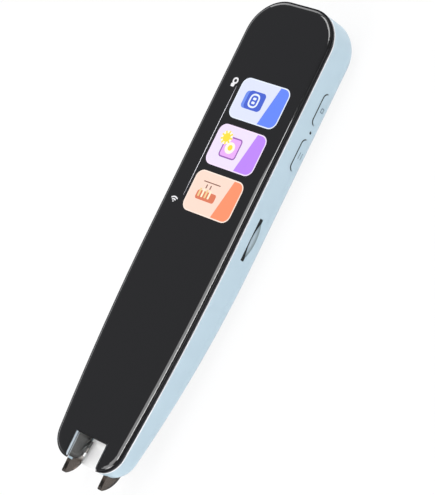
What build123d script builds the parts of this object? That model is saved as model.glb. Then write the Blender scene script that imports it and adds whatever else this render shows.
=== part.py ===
from build123d import *
import math
import os

# Scanning translator pen, lying on its back. Millimetres.
# X runs across the pen (the buttons are on +X), Y along it towards the head, Z out of the screen.
# The origin is the middle of the overall box, on the face that the pen rests on.

# ---- body form ----
body_length = 141.6  # housing, from tip face to head
feet_reach = 4.1  # scanning feet, past the tip face
rim_half_width = 15.7  # half width of the housing at the seam
seam_height = 12.2  # where the frame meets the rear housing
wall_draft = 2.1  # degrees that the side walls lean in towards the seam
head_corner = 11.0
tip_corner = 7.0
side_taper_length = 69.0  # narrowing stretch, from the tip face
side_taper = 3.5  # how far each side comes in by the tip face
back_rise_length = 71.0  # stretch where the back curves up, from the tip face
back_rise = 4.6  # how high the back is at the tip face
back_edge_radius = 4.5
rim_round = 0.3
wall = 1.4

# ---- frame and glass ----
frame_band = 0.6  # frame edge that shows above the seam
frame_web = 0.3  # thickness of the ledge that carries the glass
frame_lip = 0.35  # rim round the glass
frame_skirt_depth = 1.2
frame_skirt_width = 1.2
frame_nose_margin = 3.5  # the skirt ends this far behind the notch
clip_depth = 1.2  # snap tabs below the skirt
clip_length = 6.0
clip_thickness = 1.0
clip_count = 4  # on each side
first_clip_from_tip = 28.9
last_clip_from_head = 22.7
glass_thickness = 0.8
glass_gap = 0.1  # between glass and frame lip
glass_edge_width = 1.4  # curved border of the glass
glass_edge_drop = 0.55
adhesive_thickness = 0.1
adhesive_width = 1.9
adhesive_setback = 0.15  # behind the edge of the glass

# ---- scanning tip ----
notch_width = 12.0
notch_length = 7.75
trim_thickness = 0.3  # pale trim that lines the notch in the glass
trim_gap = 0.05
channel_setback = 0.15  # housing edge behind the notch edge
insert_setback = 0.65  # insert wall behind the notch edge
insert_wall = 1.35
insert_end_wall = 1.2
tip_lip = 0.15  # least of the housing that is left in front of the insert's walls
ledge_width = 0.45  # low step inside the insert's walls, beside the channel floor
ledge_low = 0.6  # height of the step at the end wall
ledge_high = 2.4  # and at its front end
ledge_length = 3.7
foot_front_depth = 3.7  # feet, below the glass face
foot_corner = 0.5
foot_curve_radius = 7.4
foot_root = 2.0  # the foot reaches this far inside the tip face
foot_root_lift = 0.03
tip_travel = 0.8
slide_clearance = 0.1
slot_clearance = 0.15  # sides of the slots that the feet pass through
stop_gap = 0.05
lug_size = 1.0
arm_reach = 5.6  # arms behind the insert's end wall
arm_height = 1.6
floor_plate = 0.9  # white floor of the scanning channel
floor_corner = 0.8
floor_tail_setback = 0.8
floor_riser = 0.9
floor_tail_length = 3.6
floor_tail = 0.8
window_width = 10.4
window_height = 4.4
window_thickness = 0.7
window_rebate = 0.4
window_drop = 0.4  # window below the insert's upper edge

# ---- scanning camera ----
camera_drop = 3.2  # lens axis below the seam
cradle_width = 8.8
cradle_length = 4.0
cradle_ear_thickness = 1.0
cradle_gap = 5.3  # insert end wall to cradle
cradle_half_height = 3.0
cradle_ear_front = 3.2  # ears, in front of the cradle's back
ear_rim = 0.1  # ear around its screw heads
barrel_radius = 2.3
barrel_bore = 1.9
barrel_length = 5.0
barrel_proud = 1.7
fit_clearance = 0.05
lens_thickness = 1.0
lens_setback = 0.4
lens_bulge = 0.4
sensor_size = 2.6
sensor_thickness = 0.7
sensor_board_width = 10.0
board_thickness = 0.8
led_board_width = 12.0
led_board_length = 2.4
led_board_thickness = 0.5
led_board_gap = 0.1  # over the lens barrel
led_width = 1.6
led_depth = 1.0
led_height = 0.7
led_spread = 7.8
led_setback = 0.2
tip_switch_size = 3.0
tip_switch_depth = 2.0
tip_switch_lift = 1.2  # above its plunger
tip_switch_gap = 0.15  # to the pressed insert
plunger_end_gap = 0.3
tip_plunger_radius = 0.5
spring_strip = 0.2
spring_width = 2.6
spring_bow = 1.6
spring_half_height = 0.9
spring_foot = 0.6
spring_bend = 0.25
camera_screw_inset = 5.3  # from the seam's side line
camera_screw_gap = 0.3  # between the tip switch and a screw head
camera_screw_length = 2.4

# ---- screen stack ----
touch_thickness = 0.2
panel_thickness = 1.1
backlight_thickness = 0.9
screen_margin = 3.5  # beside the screen, from the seam's side line
screen_length = 48.0
screen_from_head = 44.6  # its middle
backlight_margin = 0.4
connector_height = 1.0
display_connector_width = 10.0
display_connector_length = 2.4
connector_gap = 1.6  # from the backlight
flex_thickness = 0.15
flex_bend = 0.25  # of a flex's middle line
display_flex_width = 8.0
display_flex_bend = 1.0  # bend of the flex, past its connector
camera_flex_width = 5.6
button_flex_width = 7.0
button_flex_landing = 2.4
camera_connector_width = 6.4
camera_connector_length = 2.0
camera_connector_inset = 0.2
flex_lift = 0.4  # a flex's middle above its board, where it enters a connector

# ---- boards and what they carry ----
board_gap = 1.2  # parts' space between the main board and the screen
main_board_inset = 4.2  # from the seam's side line
main_board_length = 102.0
shoulder_length = 5.7  # narrower end of the board, beside the head's corners
main_board_from_head = 2.5
main_board_tongue = 13.0
chip_margin = 1.0
chip_height = 0.9
chip_rows_start = 7.8  # from the board's tip end
chip_row_gap = 2.0
memory_width = 8.0
memory_length = 9.5
power_chip_size = 5.0
processor_size = 10.0
processor_height = 1.2
shield_width = 6.0
shield_length = 10.0
shield_height = 1.6
shield_skin = 0.2
capacitor_width = 0.8
capacitor_length = 1.6
capacitor_height = 0.7
capacitor_pitch = 2.0
capacitor_gap = 1.2
capacitor_columns = 3
boss_radius = 1.7
screw_radius = 0.55
screw_head_radius = 1.1
screw_head_height = 0.6
screw_length = 3.0
screw_clearance = 0.02
bore_clearance = 0.1  # round the shanks in the boards and the cradle
bore_extra = 0.2
screw_recess = 0.25
recess_length = 1.2
recess_width = 0.3
board_screw_margin = 1.9  # from the board's sides
board_screw_inset = 2.6  # from its tip end
board_screw_from_shoulder = 1.9

# ---- battery ----
battery_width = 18.0
battery_length = 40.0
battery_thickness = 5.0
battery_from_head = 16.7
battery_shift = -1.5
battery_corner = 1.2
battery_tape_thickness = 0.15
battery_tape_margin = 3.0
battery_board_thickness = 1.0
battery_board_margin = 0.6
battery_rib_length = 30.0
battery_rib_thickness = 0.6
battery_plug_width = 3.8
battery_plug_length = 3.4
battery_plug_gap = 0.35  # above the cell
wire_radius = 0.35
wire_pitch = 1.4
wire_reach = 1.2  # past the battery's board
wire_bend = 0.6

# ---- side buttons ----
button_length = 9.6
button_height = 3.1
button_gap = 0.1
button_flange = 0.6
button_flange_thickness = 0.5
button_running_gap = 0.05
button_travel = 0.35
side_feature_height = 5.1
power_button_from_head = 25.35
select_button_from_head = 39.4
mic_from_head = 32.4
mic_hole_radius = 0.4
mic_width = 3.0
mic_height = 2.6
mic_thickness = 1.0
mic_boot_radius = 1.3
button_board_depth = 3.0  # its face, inside the seam's side line
button_board_margin = 7.5  # past the buttons' middles
button_board_low = 2.2
button_board_high = 7.8
board_post_thickness = 0.7
board_post_length = 2.4
board_post_drop = 1.6  # below the button board's upper edge
switch_length = 4.0
switch_height = 3.0
switch_thickness = 0.8
switch_skin = 0.1
plunger_radius = 0.65
plunger_gap = 0.2  # to the pressed switch

# ---- memory card slot ----
card_slot_from_head = 66.4
card_slot_length = 12.8
card_slot_height = 1.4
card_slot_drop = 1.5  # its lower edge, below the main board
card_slot_corner = 0.3
card_scoop_length = 12.0
card_scoop_depth = 0.85
card_scoop_drop = 1.15
card_socket_depth = 14.0
card_socket_skin = 0.3
card_socket_wall = 0.8
card_socket_margin = 0.5  # past the slot's ends
card_socket_gap = 0.2

# ---- charging inlet ----
usb_width = 8.94
usb_height = 3.26
usb_length = 7.3
usb_skin = 0.3
usb_recess = 0.65
usb_gap = 0.15
usb_tongue_width = 6.7
usb_tongue_height = 0.7
usb_tongue_setback = 0.5
usb_back_wall = 1.0

# ---- speaker ----
speaker_from_head = 91.7
speaker_width = 16.0
speaker_length = 14.0
speaker_corner = 2.0
speaker_lift = 0.7  # over the highest floor under it
speaker_height = 3.6
speaker_ring = 6.0
speaker_ring_wall = 1.3
grille_hole_radius = 0.6
grille_ring = 2.7
grille_holes = 6
mesh_thickness = 0.2
mesh_gap = 0.1
speaker_contact_radius = 0.4
speaker_contact_inset = 2.0
speaker_contact_pitch = 1.5

# ---- antenna ----
antenna_thickness = 0.15
antenna_length = 30.0
antenna_from_head = 22.7
antenna_width = 3.4
antenna_drop = 2.8  # its upper edge, below the seam

# ---- places that follow from the sizes ----
head_lean = (seam_height - back_edge_radius) * math.tan(math.radians(wall_draft))
head_y = (body_length + feet_reach - head_lean) / 2
tip_y = head_y - body_length
feet_y = tip_y - feet_reach
side_taper_radius = (side_taper_length**2 + side_taper**2) / (2 * side_taper)
back_rise_radius = (back_rise_length**2 + back_rise**2) / (2 * back_rise)
frame_top = seam_height + frame_band
seat_height = seam_height + frame_web
glass_bottom = seat_height + adhesive_thickness
glass_top = glass_bottom + glass_thickness
glass_inset = frame_lip + glass_gap
notch_y = tip_y + notch_length
channel_half = notch_width / 2 + channel_setback
insert_inner = notch_width / 2 + insert_setback
insert_outer = insert_inner + insert_wall
insert_top = seam_height - slide_clearance
insert_back = notch_y + insert_end_wall
arm_end = insert_back + arm_reach
foot_front = glass_top - foot_front_depth
slot_end = tip_y + back_edge_radius + slide_clearance
panel_top = glass_bottom - touch_thickness
panel_bottom = panel_top - panel_thickness
backlight_bottom = panel_bottom - backlight_thickness
board_top = backlight_bottom - board_gap
main_board_height = board_top - board_thickness
board_half = rim_half_width - main_board_inset
board_end = head_y - main_board_from_head
board_shoulder = board_end - shoulder_length
board_start = board_end - main_board_length
board_screw_x = board_half - board_screw_margin
board_screw_places = (board_start + board_screw_inset, board_shoulder - board_screw_from_shoulder)
screen_centre = head_y - screen_from_head
screen_half = rim_half_width - screen_margin
screen_start = screen_centre - screen_length / 2
display_connector_y = screen_start - backlight_margin - connector_gap
power_button_place = head_y - power_button_from_head
select_button_place = head_y - select_button_from_head
mic_place = head_y - mic_from_head
button_board_face = rim_half_width - button_board_depth
button_board_start = select_button_place - button_board_margin
button_board_end = power_button_place + button_board_margin
card_slot_place = head_y - card_slot_from_head
card_slot_bottom = main_board_height - card_slot_drop
battery_end = head_y - battery_from_head
battery_start = battery_end - battery_length
battery_low = wall + battery_tape_thickness
battery_top = battery_low + battery_thickness
speaker_place = head_y - speaker_from_head
camera_height = seam_height - camera_drop
cradle_base = camera_height - cradle_half_height
cradle_top = camera_height + cradle_half_height
cradle_front = insert_back + cradle_gap
cradle_back = cradle_front + cradle_length
ear_top = cradle_base + cradle_ear_thickness
tip_switch_front = arm_end + tip_travel + tip_switch_gap
tip_switch_back = tip_switch_front + tip_switch_depth
camera_screw_x = rim_half_width - camera_screw_inset
camera_screw_y = tip_switch_back + camera_screw_gap + screw_head_radius
far = 200.0  # reach of cutting blocks past the part

parts = {}


def keep(name, *solids):
    parts[name] = solids[0] if len(solids) == 1 else Compound(children=list(solids))


def block(x0, x1, y0, y1, z0, z1):
    return Pos((x0 + x1) / 2, (y0 + y1) / 2, (z0 + z1) / 2) * Box(x1 - x0, y1 - y0, z1 - z0)


def rod_z(radius, x, y, z0, z1):
    return Pos(x, y, (z0 + z1) / 2) * Cylinder(radius, z1 - z0)


def rod_y(radius, x, y0, y1, z):
    return Pos(x, (y0 + y1) / 2, z) * Rot(90, 0, 0) * Cylinder(radius, y1 - y0)


def rod_x(radius, x0, x1, y, z):
    return Pos((x0 + x1) / 2, y, z) * Rot(0, 90, 0) * Cylinder(radius, x1 - x0)


def both_sides(solid):
    return [solid, mirror(solid, about=Plane.YZ)]


def ribbon(plane, line, thickness, width):
    # a flat strip that follows a line drawn on the plane
    return extrude(plane * trace(line, thickness), width / 2, both=True)


# ---- the body's form ----
def arc_sag(radius, run):
    return radius - math.sqrt(radius**2 - run**2)


def plan_outline(inset=0.0):
    # the body seen from above: straight sides that narrow in one long arc, and rounded corners
    side_x = rim_half_width - inset
    radius = side_taper_radius - inset
    taper_y = tip_y + side_taper_length
    end_y = tip_y + inset
    run = taper_y - end_y
    tip_x = side_x - arc_sag(radius, run)
    middle = (side_x - arc_sag(radius, run / 2), taper_y - run / 2)
    top_y = head_y - inset
    edges = [
        Line((-side_x, top_y), (side_x, top_y)),
        Line((side_x, top_y), (side_x, taper_y)),
        ThreePointArc((side_x, taper_y), middle, (tip_x, end_y)),
        Line((tip_x, end_y), (-tip_x, end_y)),
        ThreePointArc((-tip_x, end_y), (-middle[0], middle[1]), (-side_x, taper_y)),
        Line((-side_x, taper_y), (-side_x, top_y)),
    ]
    face = make_face(edges)
    face = fillet(face.vertices().sort_by(Axis.Y)[-2:], head_corner - inset)
    return fillet(face.vertices().sort_by(Axis.Y)[:2], tip_corner - inset)


def plate(inset, z0, z1):
    return extrude(Pos(0, 0, z0) * plan_outline(inset), z1 - z0)


def lean(z):
    return (seam_height - z) * math.tan(math.radians(wall_draft))


def back_height(y, rise=0.0):
    run = max(0.0, tip_y + back_rise_length - y)
    return back_rise_radius - math.sqrt((back_rise_radius - rise) ** 2 - run**2)


def side_view(rise, y0, y1, z1):
    # everything above the back's line, raised by rise, seen from the side
    rise_y = tip_y + back_rise_length
    middle_y = (y0 + rise_y) / 2
    edges = [
        Line((y1, rise), (rise_y, rise)),
        ThreePointArc((rise_y, rise), (middle_y, back_height(middle_y, rise)), (y0, back_height(y0, rise))),
        Line((y0, back_height(y0, rise)), (y0, z1)),
        Line((y0, z1), (y1, z1)),
        Line((y1, z1), (y1, rise)),
    ]
    return Plane.YZ * make_face(edges)


def body_form(inset=0.0, top=seam_height):
    low, high = plan_outline(inset - lean(0)), plan_outline(inset - lean(top))
    walls = loft([low.face(), (Pos(0, 0, top) * high).face()], ruled=True)
    form = walls & extrude(side_view(inset, tip_y - wall, head_y + wall, top + wall), far, both=True)
    back_edges = [e for e in form.edges() if on_back_rim(e, inset)]
    return fillet(back_edges, back_edge_radius - inset)


def on_back_rim(edge, inset):
    middle = edge.position_at(0.5)
    crosses = abs(middle.X) < 0.01 and abs(middle.Y - tip_y - back_rise_length) < 0.01
    return abs(middle.Z - back_height(middle.Y, inset)) < 0.01 and not crosses


def skin(inset, thickness):
    return body_form(inset) - body_form(inset + thickness, seam_height + wall)


form_outer = body_form()
form_inner = body_form(wall, seam_height + wall)


# ---- rear housing ----
def pill(length, height, y, x0, x1):
    # a prism along X with a pill outline, at the height of the side features
    outline = Plane.YZ * Pos(y, side_feature_height) * SlotOverall(length, height)
    return Pos(x0, 0, 0) * extrude(outline, x1 - x0)


def button_window(y):
    return pill(button_length + 2 * button_gap, button_height + 2 * button_gap, y, 0, far)


def card_opening():
    slot_top = card_slot_bottom + card_slot_height
    low_y, high_y = card_slot_place - card_slot_length / 2, card_slot_place + card_slot_length / 2
    slot = block(0, far, low_y, high_y, card_slot_bottom, slot_top)
    slot = fillet(slot.edges().filter_by(Axis.X), card_slot_corner)
    # finger scoop: a large cylinder, tilted so that it leaves the wall below the slot
    face_x = rim_half_width + lean(card_slot_bottom)
    radius = (card_scoop_length / 2) ** 2 / (2 * card_scoop_depth) + card_scoop_depth / 2
    tilt = math.degrees(math.atan2(card_scoop_depth, card_scoop_drop))
    reach = 2 * card_scoop_drop
    scoop = Pos(0, 0, -reach / 2) * Cylinder(radius, reach)
    place = Pos(face_x - card_scoop_depth, card_slot_place, card_slot_bottom)
    return slot + place * Rot(0, -tilt, 0) * Pos(radius, 0, 0) * scoop


def usb_outline(grow):
    place = Plane.XZ * Pos(0, main_board_height - usb_height / 2)
    return place * SlotOverall(usb_width + 2 * grow, usb_height + 2 * grow)


def grille():
    centre = rod_z(grille_hole_radius, 0, speaker_place, -wall, speaker_bottom())
    ring = [
        Pos(
            grille_ring * math.cos(2 * math.pi * k / grille_holes),
            grille_ring * math.sin(2 * math.pi * k / grille_holes),
            0,
        )
        * centre
        for k in range(grille_holes)
    ]
    return [centre, *ring]


def pocket_front():
    # behind the rounded corner of the tip, where the pocket comes nearest to it
    slot_x = insert_outer + slot_clearance
    across = plan_outline() & Line((slot_x, tip_y - wall), (slot_x, head_y))
    return across.bounding_box().min.Y + tip_lip


def tip_opening():
    # the scanning channel with the bed of its floor, the slots that the feet pass through, and
    # above them the pockets that leave a thin lip in front of the insert's walls
    channel = block(-channel_half, channel_half, tip_y - wall, notch_y, -wall, far)
    bed_x = insert_inner + slide_clearance
    slot_x = insert_outer + slot_clearance
    slot_top = foot_front + slide_clearance
    bed = block(-bed_x, bed_x, tip_y - wall, notch_y, -wall, slot_top)
    slots = block(-slot_x, slot_x, tip_y - wall, slot_end, -wall, slot_top)
    pockets = block(-slot_x, slot_x, pocket_front(), slot_end, foot_front, far)
    return channel + bed + slots + pockets


def stop_ribs():
    # the insert's lugs rest against these, so it can't fall out
    rib_y1 = insert_back - lug_size - stop_gap
    inner = insert_outer + slot_clearance
    rib = block(inner, rim_half_width, rib_y1 - lug_size, rib_y1, 0, insert_top - slide_clearance)
    return [r & form_outer for r in both_sides(rib)]


def boss(x, y, height):
    return rod_z(boss_radius, x, y, 0, height) & form_outer


def bosses():
    board = [boss(side * board_screw_x, y, main_board_height) for side in (-1, 1) for y in board_screw_places]
    camera = [boss(side * camera_screw_x, camera_screw_y, cradle_base) for side in (-1, 1)]
    return board + camera


def screw_bore(x, y, head_under, length):
    return rod_z(screw_radius + screw_clearance, x, y, head_under - length - bore_extra, head_under)


def screw_bores():
    board = [
        screw_bore(side * board_screw_x, y, board_top, screw_length)
        for side in (-1, 1)
        for y in board_screw_places
    ]
    camera = [
        screw_bore(side * camera_screw_x, camera_screw_y, ear_top, camera_screw_length) for side in (-1, 1)
    ]
    return board + camera


def button_board_posts():
    face, back = button_board_face, button_board_face - board_thickness
    groove = block(
        back - fit_clearance,
        face + fit_clearance,
        button_board_start - fit_clearance,
        button_board_end + fit_clearance,
        button_board_low - fit_clearance,
        far,
    )
    x0, x1 = back - board_post_thickness, face + board_post_thickness
    half, top = board_post_length / 2, button_board_high - board_post_drop
    posts = [block(x0, x1, y - half, y + half, 0, top) for y in (button_board_start, button_board_end)]
    return [(post & form_outer) - groove for post in posts]


def battery_ribs():
    y0 = battery_start + (battery_length - battery_rib_length) / 2
    y1 = y0 + battery_rib_length
    half = battery_width / 2 + slide_clearance
    return [
        block(x, x + battery_rib_thickness, y0, y1, wall / 2, wall + battery_thickness / 2)
        for x in (battery_shift - half - battery_rib_thickness, battery_shift + half)
    ]


def make_rear_housing():
    shell = chamfer(form_outer.edges().group_by(Axis.Z)[-1], rim_round) - form_inner
    for piece in [*stop_ribs(), *bosses(), *button_board_posts(), *battery_ribs()]:
        shell += piece
    for cutter in [
        tip_opening(),
        button_window(power_button_place),
        button_window(select_button_place),
        rod_x(mic_hole_radius, 0, far, mic_place, side_feature_height),
        card_opening(),
        Pos(0, head_y + wall, 0) * extrude(usb_outline(usb_gap), 3 * wall),
        *grille(),
        *screw_bores(),
    ]:
        shell -= cutter
    keep("rear_housing", shell)


# ---- frame, glass, its adhesive and the notch's trim ----
def notch_cut(grow=0.0):
    half = notch_width / 2 + grow
    return block(-half, half, tip_y - wall, notch_y + grow, 0, far)


def make_mid_frame():
    skirt_inset = wall + slide_clearance
    window_inset = skirt_inset + frame_skirt_width
    skirt_bottom = seam_height - frame_skirt_depth
    nose_end = notch_y + frame_nose_margin
    behind_nose = block(-far, far, nose_end, far, 0, far)
    band = plate(0, seam_height, frame_top) - plate(frame_lip, seat_height, glass_top)
    skirt = (plate(skirt_inset, skirt_bottom, seam_height) - plate(window_inset, 0, far)) & behind_nose
    tab_ring = plate(skirt_inset, skirt_bottom - clip_depth, seam_height)
    tab_ring -= plate(skirt_inset + clip_thickness, 0, far)
    first, last = tip_y + first_clip_from_tip, head_y - last_clip_from_head
    for clip in range(clip_count):
        y = first + (last - first) * clip / (clip_count - 1)
        skirt += tab_ring & block(-far, far, y - clip_length / 2, y + clip_length / 2, 0, far)
    frame = band - (plate(window_inset, 0, far) & behind_nose) + skirt
    keep("mid_frame", frame - notch_cut())


def glass_form():
    # the curved border is a quarter ellipse: a round of glass_edge_width, pressed flat
    flat_part = glass_thickness - glass_edge_drop
    squash = glass_edge_drop / glass_edge_width
    slab = extrude(plan_outline(glass_inset), 2 * glass_edge_width)
    slab = fillet(slab.edges().group_by(Axis.Z)[-1], glass_edge_width)
    slab = split(slab, Plane.XY.offset(glass_edge_width), keep=Keep.TOP)
    border = scale(slab, by=(1, 1, squash))
    crown = Pos(0, 0, glass_bottom + flat_part - glass_edge_drop) * border
    return plate(glass_inset, glass_bottom, glass_bottom + flat_part) + crown


def make_cover_glass():
    keep("cover_glass", glass_form() - notch_cut(trim_thickness + trim_gap))


def make_notch_trim():
    # it stands on the frame, and follows the curved border of the glass down at its two ends
    form = glass_form() + plate(glass_inset, seat_height, glass_bottom)
    keep("notch_trim", (form & notch_cut(trim_thickness)) - notch_cut())


def make_glass_adhesive():
    inset = glass_inset + adhesive_setback
    ring = plate(inset, seat_height, glass_bottom) - plate(inset + adhesive_width, 0, far)
    behind_notch = block(-far, far, notch_y + trim_thickness + trim_gap, far, 0, far)
    keep("glass_adhesive", ring & behind_notch)


# ---- scanning tip ----
def foot_profile():
    # the foot seen from the side, with its curved back edge
    root_y = tip_y + foot_root
    root_z = back_height(root_y) + foot_root_lift
    flat_z = foot_front - foot_corner
    edges = [
        Line((root_y, foot_front), (feet_y + foot_corner, foot_front)),
        JernArc((feet_y + foot_corner, foot_front), (-1, 0), foot_corner, 90),
        RadiusArc((feet_y, flat_z), (root_y, root_z), -foot_curve_radius),
        Line((root_y, root_z), (root_y, foot_front)),
    ]
    return Plane.YZ * make_face(edges)


def insert_ledge():
    # a step over the edge of the channel's floor, higher towards the feet
    back_y = notch_y - tip_travel - slide_clearance
    front_y = back_y - ledge_length
    back_z = back_height(back_y) + floor_plate + slide_clearance
    front_z = back_height(front_y) + floor_plate + slide_clearance
    corners = [
        (back_y, back_z),
        (back_y, back_z + ledge_low),
        (front_y, front_z + ledge_high),
        (front_y, front_z),
    ]
    outline = Polyline(*corners, close=True)
    start = insert_inner - ledge_width
    return Pos(start, 0, 0) * extrude(Plane.YZ * make_face(outline), ledge_width)


def insert_side():
    # one wall of the insert, with its foot, ledge, guide arm and stop lug
    foot = Pos(insert_inner, 0, 0) * extrude(foot_profile(), insert_wall)
    wall_y0 = pocket_front() + slot_clearance
    slot_room = block(0, insert_outer, tip_y, slot_end - slide_clearance, 0, seam_height)
    above_floor = extrude(side_view(wall + slide_clearance, tip_y, head_y, far), far, both=True)
    room = body_form(wall + slide_clearance) + (slot_room & above_floor)
    panel = block(insert_inner, insert_outer, wall_y0, insert_back, 0, insert_top) & room
    arm_low = camera_height - arm_height / 2
    arm = block(insert_inner, insert_outer, insert_back, arm_end, arm_low, arm_low + arm_height)
    lug_x, lug_y = insert_outer + lug_size, insert_back - lug_size
    lug = block(insert_outer, lug_x, lug_y, insert_back, arm_low, insert_top)
    return foot + panel + insert_ledge() + arm + lug


def make_nose_insert():
    tail_top = back_height(notch_y, wall) + floor_tail + slide_clearance
    end_wall = block(-insert_inner, insert_inner, notch_y, insert_back, tail_top, insert_top)
    centre_z = window_centre()
    aperture_x, aperture_z = window_width / 2 - window_rebate, window_height / 2 - window_rebate
    y0, y1 = notch_y - insert_wall, insert_back + insert_wall
    aperture = block(-aperture_x, aperture_x, y0, y1, centre_z - aperture_z, centre_z + aperture_z)
    insert = end_wall + insert_side() + mirror(insert_side(), about=Plane.YZ)
    keep("nose_insert", insert - aperture - window_blank(slide_clearance / 2))


def window_centre():
    return insert_top - window_height / 2 - window_drop


def window_blank(grow):
    half_x, half_z = window_width / 2 + grow, window_height / 2 + grow
    y0 = insert_back - window_thickness
    return block(-half_x, half_x, y0, insert_back, window_centre() - half_z, window_centre() + half_z)


def make_camera_window():
    keep("camera_window", window_blank(0))


def make_channel_floor():
    # white plate that closes the channel below, with a tail that lies on the housing's floor
    half = insert_inner - slot_clearance
    tail_half = half - floor_tail_setback
    plate_end = notch_y - slide_clearance
    riser_y = plate_end - floor_riser
    tail_end = notch_y + floor_tail_length
    main = layer(0, floor_plate) & block(-half, half, tip_y, plate_end, 0, far)
    corners = main.edges().filter_by(Axis.Z).group_by(Axis.Y)[0]
    main = fillet(corners, floor_corner)
    riser = layer(0, wall + floor_tail) & block(-tail_half, tail_half, riser_y, plate_end, 0, far)
    tail = layer(wall, floor_tail) & block(-tail_half, tail_half, riser_y, tail_end, 0, far)
    keep("channel_floor", main + riser + tail)


def layer(rise, thickness):
    # the space between two offsets of the back's line
    y0, y1 = tip_y - wall, head_y
    low = extrude(side_view(rise, y0, y1, far), far, both=True)
    return low - extrude(side_view(rise + thickness, y0 - wall, y1 + wall, 2 * far), 2 * far, both=True)


# ---- scanning camera ----
def make_camera():
    half = cradle_width / 2
    holder = block(-half, half, cradle_front, cradle_back, cradle_base, cradle_top)
    ear_x = camera_screw_x + screw_head_radius + ear_rim
    ear_end = camera_screw_y + screw_head_radius + ear_rim
    ears = block(-ear_x, ear_x, cradle_back - cradle_ear_front, ear_end, cradle_base, ear_top)
    cradle = holder + ears
    cradle -= rod_y(barrel_radius + fit_clearance, 0, cradle_front - wall, cradle_back + wall, camera_height)
    for side in (-1, 1):
        cradle -= rod_z(screw_radius + bore_clearance, side * camera_screw_x, camera_screw_y, 0, far)
    keep("camera_cradle", cradle)

    barrel_front = cradle_front - barrel_proud
    barrel = rod_y(barrel_radius, 0, barrel_front, barrel_front + barrel_length, camera_height)
    barrel -= rod_y(barrel_bore, 0, barrel_front - wall, barrel_front + barrel_length + wall, camera_height)
    keep("lens_barrel", barrel)

    lens_radius = barrel_bore - screw_clearance
    lens_y = barrel_front + lens_setback
    lens_body = rod_y(lens_radius, 0, lens_y + lens_bulge, lens_y + lens_thickness, camera_height)
    bulge_radius = (lens_radius**2 + lens_bulge**2) / (2 * lens_bulge)
    bulge = Pos(0, lens_y + bulge_radius, camera_height) * Sphere(bulge_radius)
    lens = lens_body + (bulge & rod_y(lens_radius, 0, lens_y, lens_y + lens_bulge, camera_height))
    keep("front_lens", lens)

    half_board = sensor_board_width / 2
    board_y1 = cradle_back + board_thickness
    keep("sensor_board", block(-half_board, half_board, cradle_back, board_y1, ear_top, cradle_top))
    half_sensor = sensor_size / 2
    keep(
        "image_sensor",
        block(
            -half_sensor,
            half_sensor,
            cradle_back - sensor_thickness,
            cradle_back,
            camera_height - half_sensor,
            camera_height + half_sensor,
        ),
    )
    led_half = led_board_width / 2
    led_z = camera_height + barrel_radius + led_board_gap
    led_y0 = cradle_front - led_board_length
    keep("led_board", block(-led_half, led_half, led_y0, cradle_front, led_z, led_z + led_board_thickness))
    y0 = led_y0 + led_setback
    leds = [
        block(x - led_width / 2, x + led_width / 2, y0, y0 + led_depth, led_z - led_height, led_z)
        for x in (-led_spread / 2, led_spread / 2)
    ]
    keep("scan_leds", *leds)


def make_tip_switch():
    x = (insert_inner + insert_outer) / 2
    z = camera_height + arm_height / 2
    half, top = tip_switch_size / 2, z + tip_switch_lift
    body = block(x - half, x + half, tip_switch_front, tip_switch_back, ear_top, top)
    plunger_back = tip_switch_back - tip_travel - plunger_end_gap
    bore_end = plunger_back + tip_travel + slide_clearance
    bore = rod_y(tip_plunger_radius + fit_clearance, x, tip_switch_front - wall, bore_end, z)
    keep("tip_switch", body - bore)
    keep("tip_switch_plunger", rod_y(tip_plunger_radius, x, arm_end, plunger_back, z))

    # leaf spring on the other ear: a foot on the ear, a post and a bow that meets the arm when pressed
    crown_y = arm_end + tip_travel + stop_gap
    post_y = crown_y + spring_bow
    strip = FilletPolyline(
        (post_y + spring_foot, ear_top + spring_strip / 2),
        (post_y, ear_top + spring_strip / 2),
        (post_y, z - spring_half_height),
        (crown_y + spring_strip / 2, z),
        (post_y, z + spring_half_height),
        radius=spring_bend,
    )
    keep("tip_return_spring", Pos(-x, 0, 0) * ribbon(Plane.YZ, strip, spring_strip, spring_width))


# ---- screen ----
def screen_block(grow, z0, z1):
    half_x, half_y = screen_half + grow, screen_length / 2 + grow
    return block(-half_x, half_x, screen_centre - half_y, screen_centre + half_y, z0, z1)


def make_screen():
    keep("touch_sensor", screen_block(0, panel_top, glass_bottom))
    keep("lcd_panel", screen_block(0, panel_bottom, panel_top))
    keep("backlight", screen_block(backlight_margin, backlight_bottom, panel_bottom))
    half, front = display_connector_width / 2, display_connector_y - display_connector_length
    connector = block(-half, half, front, display_connector_y, board_top, board_top + connector_height)
    keep("display_connector", connector)
    middle = panel_top - panel_thickness / 2
    entry = board_top + flex_lift
    bend_y = display_connector_y + display_flex_bend
    route = [(screen_start, middle), (bend_y, middle), (bend_y, entry), (display_connector_y, entry)]
    strip = FilletPolyline(*route, radius=flex_bend)
    keep("display_flex", ribbon(Plane.YZ, strip, flex_thickness, display_flex_width))


# ---- main board ----
def on_board(x, width, y, length, height):
    return block(x, x + width, y, y + length, board_top, board_top + height)


def make_main_board():
    tongue = main_board_tongue / 2
    board = block(-board_half, board_half, board_start, board_shoulder, main_board_height, board_top)
    board += block(-tongue, tongue, board_shoulder, board_end, main_board_height, board_top)
    for side in (-1, 1):
        for y in board_screw_places:
            board -= rod_z(screw_radius + bore_clearance, side * board_screw_x, y, 0, far)
    keep("main_board", board)
    connector_x, connector_y = -camera_connector_width / 2, board_start + camera_connector_inset
    connector = on_board(
        connector_x, camera_connector_width, connector_y, camera_connector_length, connector_height
    )
    keep("camera_connector", connector)
    half_flex, flex_z = camera_flex_width / 2, board_top + flex_lift
    flex_start = cradle_back + board_thickness
    flex = block(-half_flex, half_flex, flex_start, connector_y, flex_z, flex_z + flex_thickness)
    keep("camera_flex", flex)


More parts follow.
